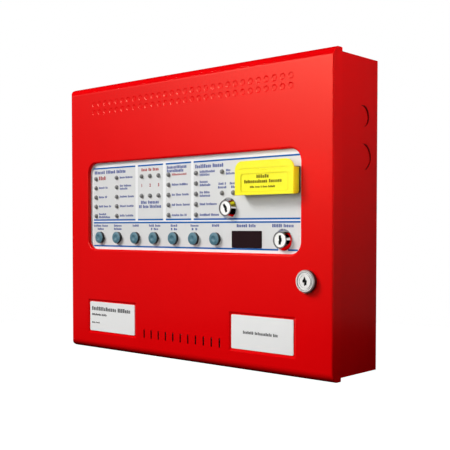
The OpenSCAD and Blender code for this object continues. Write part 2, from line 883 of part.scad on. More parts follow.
module power_supply() {
    color("silver") difference() {
        union() {
            block([supply[0], supply_y[0], supply[2]], [supply[1], supply_y[1], supply[3]]);
            for (x = [supply[0] + 8, supply[1] - 8], z = [supply[2] + 8, supply[3] - 8])
                rod_y([x, z], 3, supply_y[1] - eps, back_in_y);
        }
        for (x = [supply[0] + 14 : 8 : supply[1] - 34])
            slot_y(x, [supply[2] + 10, supply[3] - 10], 3, supply_y[0] - over, supply_y[0] + 1.2);
        block([supply[1] - 20, supply_y[0] - over, supply[2] + 4],
              [supply[1] + over, supply_y[0] + 16, supply[3] - 4]);
    }
}

module supply_terminals() {
    low_z = supply[2] + 6;
    pitch = 8.6;
    color("dimgray") difference() {
        block([supply[1] - 17, supply_y[0] + 4, low_z], [supply[1] - 4, supply_y[0] + 16, low_z + 6 * pitch]);
        for (i = [0 : 5])
            block([supply[1] - 15, supply_y[0] + 3, low_z + i * pitch + 1],
                  [supply[1] - 3, supply_y[0] + 9, low_z + (i + 1) * pitch - 1]);
    }
}

// A sealed battery: case, lid with a groove round it, and two blade terminals on top
module battery_case(x0) {
    top_z = battery_z + battery[2];
    color([0.16, 0.17, 0.2]) difference() {
        union() {
            block([x0, battery_y, battery_z],
                  [x0 + battery[0], battery_y + battery[1], top_z - 10]);
            block([x0 + 0.6, battery_y + 0.6, top_z - 10],
                  [x0 + battery[0] - 0.6, battery_y + battery[1] - 0.6, top_z]);
            for (x = [x0 + 14, x0 + battery[0] - 14])
                block([x - 0.4, battery_y + 8, top_z], [x + 0.4, battery_y + 14.3, top_z + 6]);
        }
        block([x0 + 30, battery_y + 20, top_z - 1],
              [x0 + battery[0] - 30, battery_y + 47, top_z + over]);
    }
}

// A strap across the front of both batteries, with its feet on the back of the box
module battery_bracket() {
    x = [battery_xs[0] - 1.5, battery_xs[1] + battery[0] + 1.5];
    z = [battery_z + 22, battery_z + 40];
    color("silver") union() {
        block([x[0] - 1.2, battery_y - 1.2, z[0]], [x[1] + 1.2, battery_y, z[1]]);
        for (side = x)
            block([side == x[0] ? side - 1.2 : side, battery_y - 1.2, z[0]],
                  [side == x[0] ? side : side + 1.2, back_in_y, z[1]]);
        block([x[0] - 12, back_in_y - 1.2, z[0]], [x[0], back_in_y, z[1]]);
        block([x[1], back_in_y - 1.2, z[0]], [x[1] + 12, back_in_y, z[1]]);
    }
}

// Two feed leads to the terminal blocks and one link between the batteries
module battery_leads() {
    top_z = battery_z + battery[2] + 6;
    blade_y = battery_y + 11;
    left = [battery_xs[0] + 14, battery_xs[0] + battery[0] - 14];
    right = [battery_xs[1] + 14, battery_xs[1] + battery[0] - 14];
    entry_y = main_y[0] - 6;
    color("firebrick") {
        lead([[left[0], blade_y, top_z], [left[0], blade_y, top_z + 9],
              [-105, -44, top_z + 9], [-102, entry_y, top_z - 1], [-102, entry_y, main_z[0] + 1]],
             lead_r, [0.2, 0.3, -0.1] + [1, 0, 0], 3);
        lead([[left[1], blade_y, top_z], [left[1], blade_y, top_z + 9],
              [right[0], blade_y, top_z + 9], [right[0], blade_y, top_z]],
             lead_r, [0, 1, 0], 5);
    }
    color([0.1, 0.1, 0.1])
        lead([[right[1], blade_y, top_z], [right[1], blade_y, top_z + 9],
              [105, -44, top_z + 9], [102, entry_y, top_z - 1], [102, entry_y, main_z[0] + 1]],
             lead_r, [1, 0.3, 0.1], 3);
}

module earth_stud() {
    p = [-160, 30];
    color("goldenrod") union() {
        rod_y(p, 2.5, -18, back_in_y);
        rod_y(p, 6, back_in_y - 1, back_in_y);
        hex_y(p, 5, back_in_y - 5, back_in_y - 1);
        rod_y(p, 5.5, -11, -10);
        hex_y(p, 5, -15, -11);
    }
}

// ---- Assembly --------------------------------------------------------------------------

// Swings the door and what it carries about its hinge
module on_door() {
    translate([hinge[0], hinge[1], 0]) rotate([0, 0, -door_angle])
        translate([-hinge[0], -hinge[1], 0]) children();
}

back_box();
hinge_box_leaves();
hinge_pins();
facia_pillars();
facia_plate();
facia_overlay();
facia_screws();
display_window();
display_module();
facia_board();
facia_board_spacers();
led_group(general_leds);  // leds_general
led_group(zone_leds);  // leds_zone
led_group(output_leds);  // leds_output
led_group(release_leds);  // leds_release
tact_switches();
key_housings();
key_nuts();
key_contacts();
release_base();
release_hinge_pin();
release_contact_block();
main_board();
main_board_standoffs();
terminal_blocks();
relays();
circuit_chips();
fuses();
capacitors();
board_headers();
ribbon_cable();
sounder();
power_supply();
supply_terminals();
battery_case(battery_xs[0]);  // battery_left
battery_case(battery_xs[1]);  // battery_right
battery_bracket();
battery_leads();
earth_stud();
on_door() door_panel();
on_door() label_plate(label_left);  // label_plate_left
on_door() label_plate(label_right);  // label_plate_right
on_door() hinge_door_leaves();
on_door() lock_housing();
on_door() lock_nut();
on_door() lock_barrel();
on_door() lock_cam();
on_door() lock_cam_bolt();
key_rotor(mode_key, mode_key_tilt);  // mode_key_rotor
key_rotor(access_key, 0);  // access_key_rotor
release_cover();
release_button();
push_button(button_xs[0]);  // button_1
push_button(button_xs[1]);  // button_2
push_button(button_xs[2]);  // button_3
push_button(button_xs[3]);  // button_4
push_button(button_xs[4]);  // button_5
push_button(button_xs[5]);  // button_6
push_button(button_xs[6]);  // button_7
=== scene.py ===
"""Looks for the extinguishant-release fire alarm control panel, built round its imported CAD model.

Frame: metres, origin at the centre of the wall face, +X right, +Y into the wall, +Z up.
The studio (camera, floor and lights) is given in metres and degrees. The details on the panel are
given in millimetres and are turned into metres by MM.
"""

import math
import random

import bpy
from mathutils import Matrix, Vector
from mathutils.geometry import tessellate_polygon


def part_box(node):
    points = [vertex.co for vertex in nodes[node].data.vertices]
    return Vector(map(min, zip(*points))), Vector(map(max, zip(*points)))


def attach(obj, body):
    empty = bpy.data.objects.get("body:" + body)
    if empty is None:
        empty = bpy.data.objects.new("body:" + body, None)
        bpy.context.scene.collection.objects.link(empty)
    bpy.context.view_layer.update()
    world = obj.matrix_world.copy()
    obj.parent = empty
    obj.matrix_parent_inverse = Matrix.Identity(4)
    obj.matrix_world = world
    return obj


MM = 0.001

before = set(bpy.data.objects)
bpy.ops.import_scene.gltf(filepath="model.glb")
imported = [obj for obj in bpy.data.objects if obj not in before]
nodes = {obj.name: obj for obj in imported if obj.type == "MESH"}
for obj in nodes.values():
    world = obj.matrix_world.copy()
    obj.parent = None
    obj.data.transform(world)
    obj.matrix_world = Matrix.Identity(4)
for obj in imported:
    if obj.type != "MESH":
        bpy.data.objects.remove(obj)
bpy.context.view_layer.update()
scene = bpy.context.scene


# ---- Studio: camera, world, floor and lights -------------------------------------------

CAMERA_PLACE = (0.6236, -0.7225, -0.0102)
CAMERA_TURN = (88.096, 0, 41.774)
LENS, SENSOR = 66.64, 36
LENS_SHIFT = (0.014, 0.065)

# What matt surfaces see all round, and what gloss sees between the glows.
ROOM_LIGHT, ROOM_TONE = 0.02, (1, 0.98, 0.97, 1)
WALL_LIGHT, WALL_TONE = 0.09, (1, 0.97, 0.93, 1)
# Each glow on the studio's wall: its azimuth and elevation, its peak and how tight it is.
GLOWS = (((-27, 24), 20, 34), ((85, 8), 1.1, 6))
# The elevations where the wall fades in above the floor and out below the ceiling.
FLOOR_FADE, CEILING_FADE = (-7.3, -5.9), (15, 27)

FLOOR_HALF, FLOOR_Z = 6, -0.9
FLOOR_WHITE = 0.9

# The places that the two narrow lights aim at. The first is above and in front of the panel's top
# right corner, so that its light fades down the side.
CORNER = (0.15, -0.2, 0.27)
COVER_SIDE = (0.147, -0.075, 0.035)


def direction(azimuth, elevation):
    """A unit vector towards a place in the studio: azimuth 0 is in front, 90 on the right."""
    a, e = math.radians(azimuth), math.radians(elevation)
    return Vector((math.sin(a) * math.cos(e), -math.cos(a) * math.cos(e), math.sin(e)))


def make_camera():
    """The camera at the right front, a little below the middle of the panel."""
    data = bpy.data.cameras.new("camera")
    data.lens = LENS
    data.sensor_width = SENSOR
    data.shift_x, data.shift_y = LENS_SHIFT
    camera = bpy.data.objects.new("camera", data)
    camera.location = CAMERA_PLACE
    camera.rotation_euler = [math.radians(angle) for angle in CAMERA_TURN]
    scene.collection.objects.link(camera)
    scene.camera = camera


def make_world():
    """Plain white behind the object. Gloss sees a studio: soft glows over a dim grey wall, which
    ends at a dark floor below the horizon and at a dark ceiling above the glows."""
    world = bpy.data.worlds.new("studio")
    world.use_nodes = True
    scene.world = world
    tree = world.node_tree
    tree.nodes.clear()

    def math_node(operation, *values):
        made = tree.nodes.new("ShaderNodeMath")
        made.operation = operation
        for socket, value in zip(made.inputs, values):
            if isinstance(value, (int, float)):
                socket.default_value = value
            else:
                tree.links.new(value, socket)
        return made.outputs[0]

    def fade(value, start, end):
        """0 below the start elevation and 1 above the end elevation."""
        made = tree.nodes.new("ShaderNodeMapRange")
        made.interpolation_type = "SMOOTHSTEP"
        made.inputs["From Min"].default_value = math.sin(math.radians(start))
        made.inputs["From Max"].default_value = math.sin(math.radians(end))
        tree.links.new(value, made.inputs["Value"])
        return made.outputs["Result"]

    def background(tone, strength):
        made = tree.nodes.new("ShaderNodeBackground")
        made.inputs["Color"].default_value = tone
        if isinstance(strength, (int, float)):
            made.inputs["Strength"].default_value = strength
        else:
            tree.links.new(strength, made.inputs["Strength"])
        return made.outputs[0]

    def pick(ray, otherwise, chosen):
        made = tree.nodes.new("ShaderNodeMixShader")
        tree.links.new(path.outputs[ray], made.inputs["Fac"])
        tree.links.new(otherwise, made.inputs[1])
        tree.links.new(chosen, made.inputs[2])
        return made.outputs[0]

    path = tree.nodes.new("ShaderNodeLightPath")
    place = tree.nodes.new("ShaderNodeTexCoord")
    axes = tree.nodes.new("ShaderNodeSeparateXYZ")
    tree.links.new(place.outputs["Generated"], axes.inputs[0])
    wall = WALL_LIGHT
    for towards, peak, tightness in GLOWS:
        aligned = tree.nodes.new("ShaderNodeVectorMath")
        aligned.operation = "DOT_PRODUCT"
        tree.links.new(place.outputs["Generated"], aligned.inputs[0])
        aligned.inputs[1].default_value = direction(*towards)
        facing = math_node("MAXIMUM", aligned.outputs["Value"], 0.0)
        wall = math_node("MULTIPLY_ADD", math_node("POWER", facing, tightness), peak, wall)
    above_floor = fade(axes.outputs["Z"], *FLOOR_FADE)
    below_ceiling = math_node("SUBTRACT", 1.0, fade(axes.outputs["Z"], *CEILING_FADE))
    strength = math_node("MULTIPLY", math_node("MULTIPLY", wall, above_floor), below_ceiling)
    room = background(ROOM_TONE, ROOM_LIGHT)
    lit = pick("Is Glossy Ray", room, background(WALL_TONE, strength))
    seen = pick("Is Camera Ray", lit, background((1, 1, 1, 1), 1.0))
    out = tree.nodes.new("ShaderNodeOutputWorld")
    tree.links.new(seen, out.inputs["Surface"])


def make_floor():
    """A plain white floor well below the wall panel, which throws no light back on it."""
    half, z = FLOOR_HALF, FLOOR_Z
    mesh = bpy.data.meshes.new("floor")
    mesh.from_pydata([(-half, -half, z), (half, -half, z), (half, half, z), (-half, half, z)],
                     [], [(0, 1, 2, 3)])
    floor = bpy.data.objects.new("floor", mesh)
    scene.collection.objects.link(floor)
    paint = bpy.data.materials.new("floor_white")
    paint.use_nodes = True
    shader = paint.node_tree.nodes["Principled BSDF"]
    shader.inputs["Base Color"].default_value = (FLOOR_WHITE, FLOOR_WHITE, FLOOR_WHITE, 1)
    shader.inputs["Emission Color"].default_value = (1, 1, 1, 1)
    shader.inputs["Emission Strength"].default_value = 1
    mesh.materials.append(paint)
    floor.visible_diffuse = floor.visible_glossy = floor.visible_shadow = False
    floor.visible_transmission = False


def softbox(name, azimuth, elevation, distance, size, power, spread=180, aim=(0, -0.05, 0)):
    """A square diffuser at a direction and a distance from its aim. It lights matt colour only;
    the studio round the object makes the gloss."""
    data = bpy.data.lights.new(name, "AREA")
    data.shape = "RECTANGLE"
    data.size = data.size_y = size
    data.energy = power
    data.spread = math.radians(spread)
    light = bpy.data.objects.new(name, data)
    way = direction(azimuth, elevation)
    light.location = Vector(aim) + way * distance
    light.rotation_euler = way.to_track_quat("Z", "Y").to_euler()
    light.visible_glossy = light.visible_camera = False
    scene.collection.objects.link(light)


def make_lights():
    """A broad key light from the upper left, a weak one near the right front, and two narrow
    ones for the upper end of the panel's right side and for the side of the yellow cover."""
    softbox("key", -46, 35, distance=2.0, size=0.7, power=47)
    softbox("near_right", 21, 9, distance=0.45, size=0.25, power=0.72)
    softbox("corner_side", 100, 20, distance=1.8, size=0.5, power=1.1, spread=25, aim=CORNER)
    softbox("cover_side", 57, 8, distance=0.5, size=0.03, power=0.0012, spread=5, aim=COVER_SIDE)


make_camera()
make_world()
make_floor()
make_lights()
scene.view_settings.view_transform = "Standard"
scene.view_settings.look = "None"


# ---- Materials -------------------------------------------------------------------------

# A finish's second tone, where none is given, as a share of its first.
DARKER = 0.86
# A normal's Y, which is -1 on a piece's front, where the painted side shade starts and where it is
# full.
SHADED_SIDE_TURN = (-0.75, -0.35)


def linear(r, g, b):
    """An 8-bit screen colour as the shader's linear colour."""
    return tuple(((c / 255 + 0.055) / 1.055) ** 2.4 if c > 10 else c / 255 / 12.92
                 for c in (r, g, b)) + (1,)


def surface(name, tone, other=None, rough=0.4, uneven=0.06, patch=30, grain=1500, relief=0.0,
            relief_size=1.0, stretch=(1, 1, 1), side=None, **constant):
    """A procedural finish: two close tones in broad patches and fine grain, uneven gloss, and a
    relief of the given height and size in millimetres. side is painted shade: a darker tone on the
    faces that turn away from the piece's front. constant holds plain shader values."""
    material = bpy.data.materials.new(name)
    material.use_nodes = True
    tree = material.node_tree
    shader = tree.nodes["Principled BSDF"]
    for key, value in constant.items():
        shader.inputs[key.replace("_", " ")].default_value = value
    other = other or tuple(c * DARKER for c in tone[:3]) + (1,)

    place = tree.nodes.new("ShaderNodeTexCoord")
    scaled = tree.nodes.new("ShaderNodeMapping")
    scaled.inputs["Scale"].default_value = stretch
    tree.links.new(place.outputs["Object"], scaled.inputs["Vector"])

    def noise(scale, detail=2.0):
        """Noise of about this many patches to the metre."""
        made = tree.nodes.new("ShaderNodeTexNoise")
        made.inputs["Scale"].default_value = scale
        made.inputs["Detail"].default_value = detail
        tree.links.new(scaled.outputs["Vector"], made.inputs["Vector"])
        return made.outputs["Fac"]

    def ranged(value, low, high, start=0.3, end=0.7):
        """A value's stretch from start to end, spread over low to high."""
        made = tree.nodes.new("ShaderNodeMapRange")
        for key, number in zip(("From Min", "From Max", "To Min", "To Max"),
                               (start, end, low, high)):
            made.inputs[key].default_value = number
        tree.links.new(value, made.inputs["Value"])
        return made.outputs["Result"]

    def mixed(first, second, share):
        """A mix of two tones; the first may come from another node."""
        made = tree.nodes.new("ShaderNodeMix")
        made.data_type = "RGBA"
        if isinstance(first, tuple):
            made.inputs["A"].default_value = first
        else:
            tree.links.new(first, made.inputs["A"])
        made.inputs["B"].default_value = second
        tree.links.new(share, made.inputs["Factor"])
        return made.outputs["Result"]

    broad, fine = noise(patch), noise(grain, 3.0)
    blend = tree.nodes.new("ShaderNodeMath")
    blend.operation = "MULTIPLY_ADD"
    blend.inputs[1].default_value = 0.5
    tree.links.new(fine, blend.inputs[0])
    tree.links.new(ranged(broad, 0, 0.5), blend.inputs[2])
    colour = mixed(tone, other, ranged(blend.outputs[0], 0, 1, 0.15, 0.85))
    # Painted shade: faces that turn away from the front take the darker side tone.
    if side:
        parts = tree.nodes.new("ShaderNodeSeparateXYZ")
        tree.links.new(place.outputs["Normal"], parts.inputs[0])
        colour = mixed(colour, side, ranged(parts.outputs["Y"], 0, 1, *SHADED_SIDE_TURN))
    tree.links.new(colour, shader.inputs["Base Color"])
    tree.links.new(ranged(fine, max(rough - uneven, 0.02), rough + uneven),
                   shader.inputs["Roughness"])
    if relief:
        bump = tree.nodes.new("ShaderNodeBump")
        bump.inputs["Strength"].default_value = 1
        bump.inputs["Distance"].default_value = relief * MM
        tree.links.new(noise(1 / (relief_size * MM), 2.0), bump.inputs["Height"])
        tree.links.new(bump.outputs["Normal"], shader.inputs["Normal"])
    return material


# Finishes that more than one look shares: gloss paint, nickel, matt print and the flat dark of
# painted shadow.
PAINT = dict(rough=0.11, uneven=0.02, patch=12, relief=0.002, relief_size=1.6,
             Specular_Tint=(1, 0.27, 0.17, 1))
NICKEL = dict(tone=(0.92, 0.92, 0.91, 1), other=(0.86, 0.86, 0.86, 1), rough=0.42, uneven=0.06,
              grain=3000, Metallic=0.7)
PRINT = dict(rough=0.4, Specular_IOR_Level=0.1)
SHADOW_PAINT = dict(rough=0.6, Specular_IOR_Level=0.1)

# One look for each of the record's material slots.
SLOT_LOOKS = {
    "door_red": dict(tone=(0.80, 0.0015, 0.003, 1), other=(0.76, 0.001, 0.0025, 1), **PAINT),
    "box_red": dict(tone=(0.78, 0.0015, 0.003, 1), other=(0.74, 0.001, 0.0025, 1), **PAINT),
    "zinc_steel": dict(tone=(0.62, 0.62, 0.60, 1), other=(0.50, 0.51, 0.52, 1), rough=0.32,
                       uneven=0.08, patch=250, Metallic=1.0),
    "chrome_ring": dict(tone=(0.56, 0.56, 0.57, 1), other=(0.53, 0.53, 0.54, 1), rough=0.08,
                        uneven=0.03, Metallic=1.0),
    "key_plug": NICKEL,
    "facia_steel": dict(tone=(0.74, 0.74, 0.73, 1), rough=0.5, relief=0.01),
    "overlay_film": dict(tone=(0.86, 0.86, 0.86, 1), other=(0.83, 0.83, 0.83, 1), rough=0.45,
                         relief=0.004, relief_size=0.4),
    # The button caps' sides are painted near-black as shade.
    "button_cap": dict(tone=linear(82, 120, 134), other=linear(73, 110, 124), rough=0.42,
                       uneven=0.05, relief=0.01, relief_size=0.5, side=(0.006, 0.010, 0.012, 1)),
    "lamp_lens": dict(tone=(0.30, 0.30, 0.29, 1), other=(0.24, 0.24, 0.24, 1), rough=0.25,
                      uneven=0.04, patch=400),
    "smoked_lens": dict(tone=(0.020, 0.008, 0.010, 1), other=(0.016, 0.006, 0.008, 1), rough=0.14,
                        uneven=0.03, Specular_IOR_Level=0.1),
    "cover_yellow": dict(tone=(0.95, 0.88, 0.02, 1), other=(0.93, 0.84, 0.015, 1), rough=0.3,
                         uneven=0.04, patch=60, relief=0.006, relief_size=0.8),
    "base_black": dict(tone=(0.012, 0.012, 0.013, 1), rough=0.45, relief=0.02, relief_size=0.5),
    "release_red": dict(tone=(0.55, 0.02, 0.015, 1), rough=0.3),
    "label_laminate": dict(tone=(0.90, 0.90, 0.89, 1), other=(0.87, 0.87, 0.86, 1), rough=0.4,
                           relief=0.005, relief_size=0.6),
    "board_green": dict(tone=(0.012, 0.12, 0.045, 1), other=(0.02, 0.17, 0.07, 1), rough=0.3,
                        uneven=0.08, patch=180, relief=0.02, relief_size=3),
    "component_black": dict(tone=(0.018, 0.018, 0.02, 1), other=(0.03, 0.03, 0.033, 1), rough=0.5,
                            relief=0.01, relief_size=0.3),
    "terminal_green": dict(tone=(0.02, 0.30, 0.11, 1), rough=0.42, relief=0.01, relief_size=0.5),
    "relay_blue": dict(tone=(0.02, 0.09, 0.40, 1), rough=0.28),
    "capacitor_sleeve": dict(tone=(0.012, 0.02, 0.07, 1), rough=0.22),
    "fuse_glass": dict(tone=(0.80, 0.83, 0.83, 1), rough=0.06, uneven=0.02,
                       Transmission_Weight=0.7),
    "ribbon_grey": dict(tone=(0.34, 0.35, 0.36, 1), other=(0.24, 0.25, 0.26, 1), rough=0.5,
                        relief=0.25, relief_size=1.3, stretch=(1, 0.02, 0.02)),
    "lead_insulation": dict(tone=(0.40, 0.012, 0.010, 1), rough=0.4),
    "battery_case": dict(tone=(0.03, 0.032, 0.04, 1), rough=0.5, relief=0.03, relief_size=0.8),
    "supply_case": dict(tone=(0.70, 0.71, 0.72, 1), other=(0.60, 0.61, 0.62, 1), rough=0.35,
                        uneven=0.1, grain=800, stretch=(0.03, 1, 1), Metallic=1.0),
    "earth_brass": dict(tone=(0.62, 0.42, 0.13, 1), rough=0.25, Metallic=1.0),
}

# Looks of the thin pieces made below: print, and flat tones painted as shade and shadow.
DETAIL_LOOKS = {
    "panel_grey": dict(tone=linear(218, 218, 217), other=linear(213, 213, 212), rough=0.45,
                       relief=0.004, relief_size=0.4),
    "ink_line": dict(tone=linear(10, 94, 172), other=linear(8, 86, 164), **PRINT),
    "ink_navy": dict(tone=linear(6, 54, 140), other=linear(5, 48, 132), **PRINT),
    "ink_red": dict(tone=linear(165, 20, 26), other=linear(156, 16, 22), **PRINT),
    "ink_black": dict(tone=(0.012, 0.012, 0.014, 1), **PRINT),
    "ink_brown": dict(tone=(0.03, 0.014, 0.004, 1), **PRINT),
    # A deeper yellow painted as the shade along the cover's label recess and in its grooves.
    "cover_shade": dict(tone=(0.90, 0.80, 0.008, 1), rough=0.4),
    # Painted shadow: grey in the lock's face ring, dark red in the knock-outs' sheared sides, black
    # in the keyways, key switch rings and vent slots.
    "ring_grey": dict(tone=(0.22, 0.22, 0.22, 1), **SHADOW_PAINT),
    "gap_dark": dict(tone=(0.10, 0.0005, 0.001, 1), **SHADOW_PAINT),
    "bore_dark": dict(tone=(0.01, 0.01, 0.01, 1), **SHADOW_PAINT),
}

# The CAD nodes of each slot.
SLOT_OF = {
    "door_red": ["door_panel"],
    "box_red": ["back_box", "hinge_box_leaves", "hinge_door_leaves"],
    "zinc_steel": ["hinge_pins", "facia_pillars", "facia_screws", "facia_board_spacers",
                   "key_nuts", "release_hinge_pin", "main_board_standoffs", "battery_bracket",
                   "lock_nut", "lock_cam", "lock_cam_bolt"],
    "chrome_ring": ["key_housings"],
    "key_plug": ["lock_housing", "lock_barrel", "mode_key_rotor", "access_key_rotor"],
    "facia_steel": ["facia_plate"],
    "overlay_film": ["facia_overlay"],
    "button_cap": [f"button_{i}" for i in range(1, 8)],
    "lamp_lens": ["leds_general", "leds_zone", "leds_output", "leds_release"],
    "smoked_lens": ["display_window"],
    "cover_yellow": ["release_cover"],
    "base_black": ["release_base"],
    "release_red": ["release_button"],
    "label_laminate": ["label_plate_left", "label_plate_right"],
    "board_green": ["facia_board", "main_board"],
    "component_black": ["display_module", "tact_switches", "key_contacts", "circuit_chips",
                        "release_contact_block", "sounder", "board_headers", "supply_terminals"],
    "terminal_green": ["terminal_blocks"],
    "relay_blue": ["relays"],
    "capacitor_sleeve": ["capacitors"],
    "fuse_glass": ["fuses"],
    "ribbon_grey": ["ribbon_cable"],
    "lead_insulation": ["battery_leads"],
    "battery_case": ["battery_left", "battery_right"],
    "supply_case": ["power_supply"],
    "earth_brass": ["earth_stud"],
}

for node in nodes.values():
    node.data.materials.clear()
for stale in [m for m in bpy.data.materials if not m.users]:
    bpy.data.materials.remove(stale)

FINISH = {name: surface(name, **look) for name, look in SLOT_LOOKS.items()}
# Print looks, and the flat tones painted as shade and shadow.
INK_AND_SHADE = {name: surface(name, **look) for name, look in DETAIL_LOOKS.items()}
# The lock's head is nickel too, with its sides painted darker as shade.
OWN_FINISH = {"lock_housing": surface("lock_head", side=(0.10, 0.09, 0.09, 1), **NICKEL)}

for slot_name, members in SLOT_OF.items():
    for member in members:
        node = nodes[member]
        node.data.materials.append(OWN_FINISH.get(member, FINISH[slot_name]))


# ---- Mesh helpers ----------------------------------------------------------------------

def rect(x0, x1, z0, z1, r=0.0, steps=5):
    """A rectangle's outline in millimetres, with round corners of radius r."""
    if r <= 0:
        return [(x0, z0), (x1, z0), (x1, z1), (x0, z1)]
    turns = [(x1 - r, z0 + r, -90), (x1 - r, z1 - r, 0),
             (x0 + r, z1 - r, 90), (x0 + r, z0 + r, 180)]
    return [(cx + r * math.cos(math.radians(start + 90 * k / steps)),
             cz + r * math.sin(math.radians(start + 90 * k / steps)))
            for cx, cz, start in turns for k in range(steps + 1)]


def circle(x, z, r, steps=32):
    """A circle's outline."""
    return [(x + r * math.cos(math.tau * k / steps), z + r * math.sin(math.tau * k / steps))
            for k in range(steps)]


def middle(node):
    """The x and z of a node's middle, to the nearest hundredth of a millimetre."""
    low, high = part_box(node)
    return round((low.x + high.x) / 2 / MM, 2), round((low.z + high.z) / 2 / MM, 2)


def front_of(node):
    """The y of a node's foremost point, in millimetres."""
    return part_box(node)[0].y / MM


def plates(name, shapes, back, front, material, body):
    """One piece made of flat closed solids between y = back and y = front.
    shapes is a list of (outline, holes)."""
    points, faces = [], []
    for outline, holes in shapes:
        loops = [outline] + list(holes)
        flat = [p for loop in loops for p in loop]
        first, count = len(points), len(flat)
        points += [(x * MM, front * MM, z * MM) for x, z in flat]
        points += [(x * MM, back * MM, z * MM) for x, z in flat]
        triangles = tessellate_polygon([[Vector((x, z, 0)) for x, z in loop] for loop in loops])
        for a, b, c in triangles:
            (ax, az), (bx, bz), (cx, cz) = flat[a], flat[b], flat[c]
            if (bx - ax) * (cz - az) - (bz - az) * (cx - ax) < 0:
                b, c = c, b
            faces.append((first + a, first + b, first + c))
            faces.append((first + count + a, first + count + c, first + count + b))
        start = first
        for loop in loops:
            n = len(loop)
            turned = sum(loop[i][0] * loop[(i + 1) % n][1] - loop[(i + 1) % n][0] * loop[i][1]
                         for i in range(n))
            outward = (turned > 0) == (loop is outline)
            for i in range(n):
                a, b = start + i, start + (i + 1) % n
                side = (a, a + count, b + count, b)
                faces.append(side if outward else side[::-1])
            start += n
    mesh = bpy.data.meshes.new(name)
    mesh.from_pydata(points, [], faces)
    mesh.validate()
    mesh.materials.append(material)
    piece = bpy.data.objects.new(name, mesh)
    scene.collection.objects.link(piece)
    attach(piece, body)
    return piece


# ---- Layout of the facia ---------------------------------------------------------------

# How far printed fields, lettering and the pieces that stand for shadow stand proud.
FIELD_THICK, TEXT_THICK, SHADOW_THICK = 0.02, 0.04, 0.05

MODE_KEY, ACCESS_KEY = middle("mode_key_rotor"), middle("access_key_rotor")
BUTTONS = [middle(f"button_{i}") for i in range(1, 8)]
# Lamps: four columns of five, two rows of three for the zones, and three on their own.
LAMP_XS, LAMP_ROWS = (-149.9, -113.1, -27.5, 13.9), (46.6, 35.6, 24.5, 13.5, 2.4)
ZONE_XS, ZONE_LAMP_ROWS, ZONE_DIGIT_Z = (-70.6, -57, -43.4), (46.5, 24.5), 36
SINGLE_LAMPS = ((50.9, 46.5), (50.9, 24.5), (66.2, 24.5))

# What the printed fields leave open: radii round the lamps, buttons and key switches, and the
# rectangles of the display window and of the release cover's base.
LAMP_OPENING, BUTTON_OPENING = 2.75, 7.0
MODE_KEY_OPENING, ACCESS_KEY_OPENING = 11.2, 9.6
DISPLAY_OPENING = rect(64, 104, -32.2, -14.3, 1)
COVER_OPENING = rect(79.6, 150.9, 21.8, 47.9)

# The printed fields: four columns over a band, with blue rules along their tops and feet.
COLUMNS = ((-154.8, -81.2), (-77, -36.4), (-32, 6.5), (10.2, 151))
BAND = (-154.8, 151)
RULE_TOP, RULE_MID, RULE_LOW, RULE_FOOT = 58.6, -2.4, -5.7, -33.0
FOOT_RULES = ((-154.8, 124.3), (136.4, 148))
RULE_HALF = 0.86

OVERLAY_Y = front_of("facia_overlay")
FIELD_Y, TEXT_Y = OVERLAY_Y - FIELD_THICK, OVERLAY_Y - TEXT_THICK
DIGIT_SIZE, DIGIT_BOLD = 4.6, 0.22
# A printed row's tall letters rise this much over the height that is given for the row.
LETTER_RISE = 1.12

openings = [circle(x, z, LAMP_OPENING, 20) for x in LAMP_XS for z in LAMP_ROWS]
openings += [circle(x, z, LAMP_OPENING, 20) for x in ZONE_XS for z in ZONE_LAMP_ROWS]
openings += [circle(x, z, LAMP_OPENING, 20) for x, z in SINGLE_LAMPS]
openings += [circle(x, z, BUTTON_OPENING) for x, z in BUTTONS]
openings += [circle(*MODE_KEY, MODE_KEY_OPENING), circle(*ACCESS_KEY, ACCESS_KEY_OPENING)]
openings += [DISPLAY_OPENING, COVER_OPENING]


def column(start, height, *rows):
    """Rows of lettering that start at one x and share one height. Each is (end, z, words)."""
    return [(start, end, z, height, words) for end, z, words in rows]


